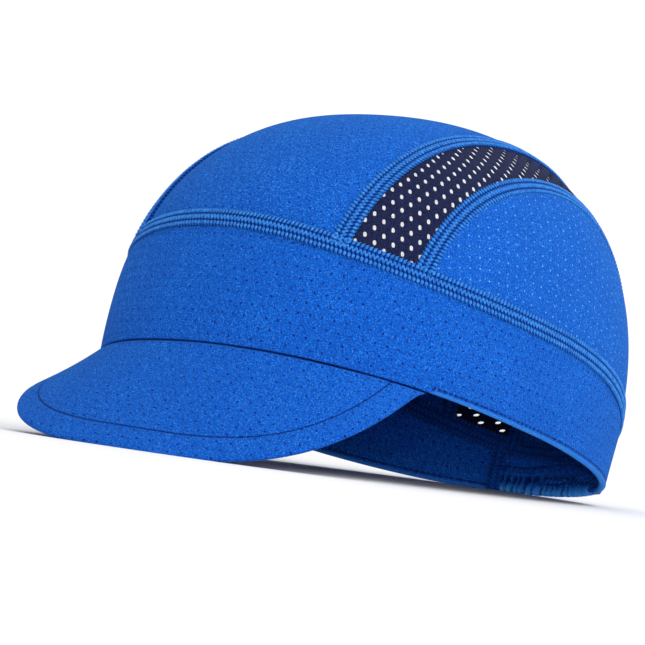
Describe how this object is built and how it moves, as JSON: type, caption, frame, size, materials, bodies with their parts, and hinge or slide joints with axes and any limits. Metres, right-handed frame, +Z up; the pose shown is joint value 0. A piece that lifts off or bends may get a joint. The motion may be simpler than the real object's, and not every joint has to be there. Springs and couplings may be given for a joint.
{
  "type": "cycling cap",
  "caption": "Close-fitting cloth cycling cap with a wide perforated band, mesh strips over the crown, an elastic back section and a short curved peak.",
  "frame": {"origin": "on the surface that the cap rests on, under the middle of its bounding box", "axes": "-Y the way the peak points, +X to the wearer's left, +Z up from the surface"},
  "size_m": [0.1612, 0.217, 0.1219],
  "materials": {
    "band_cloth": "matt perforated sports knit",
    "elastic_cloth": "matt gathered knit over elastic",
    "crown_cloth": "matt perforated sports knit",
    "peak_cloth": "matt perforated sports knit over a stiffened peak",
    "navy_mesh": "open warp-knit mesh, slightly shiny"
  },
  "bodies": {
    "root": {"front_band": "band_cloth", "back_band": "elastic_cloth", "centre_panel": "crown_cloth", "mesh_left": "navy_mesh", "mesh_right": "navy_mesh", "side_panel_left": "crown_cloth", "side_panel_right": "crown_cloth", "peak": "peak_cloth"}
  },
  "joints": []
}
